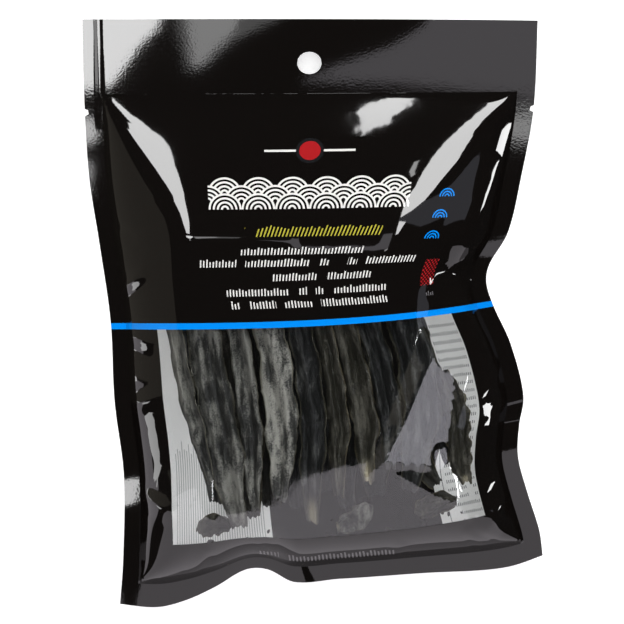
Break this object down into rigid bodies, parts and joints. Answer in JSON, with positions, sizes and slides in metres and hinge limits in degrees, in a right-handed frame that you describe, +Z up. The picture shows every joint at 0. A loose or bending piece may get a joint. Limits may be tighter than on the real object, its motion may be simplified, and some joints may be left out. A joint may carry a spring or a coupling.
{
  "type": "sealed pouch of dried wakame seaweed",
  "caption": "Sealed flat retail pouch lying on its back, black film with a clear window, peg hole and tear notches, filled with long crinkled dried wakame fronds.",
  "frame": {"origin": "on the surface that the pouch lies on, under the middle of its box", "axes": "+Z up out of the front film, +Y along the pouch from its bottom seal to its header, +X across it to the right as its front is read"},
  "size_m": [0.1622, 0.2072, 0.0337],
  "materials": {
    "printed_film": "glossy black printed laminate film",
    "clear_film": "clear glossy film, unprinted",
    "back_film": "glossy black printed laminate film with a pale panel inside",
    "dried_wakame": "matte, crinkled, with a pale mineral bloom"
  },
  "bodies": {
    "root": {"front_film": "printed_film", "front_window": "clear_film", "back_film": "back_film", "frond_top_1": "dried_wakame", "frond_top_2": "dried_wakame", "frond_top_3": "dried_wakame", "frond_top_4": "dried_wakame", "frond_top_5": "dried_wakame", "frond_top_6": "dried_wakame", "frond_top_7": "dried_wakame", "frond_top_8": "dried_wakame", "frond_top_9": "dried_wakame", "frond_top_10": "dried_wakame", "frond_middle_1": "dried_wakame", "frond_middle_2": "dried_wakame", "frond_middle_3": "dried_wakame", "frond_middle_4": "dried_wakame", "frond_middle_5": "dried_wakame", "frond_middle_6": "dried_wakame", "frond_bottom_1": "dried_wakame", "frond_bottom_2": "dried_wakame", "frond_bottom_3": "dried_wakame", "frond_bottom_4": "dried_wakame", "frond_bottom_5": "dried_wakame", "flake_1": "dried_wakame", "flake_2": "dried_wakame", "flake_3": "dried_wakame"}
  },
  "joints": []
}
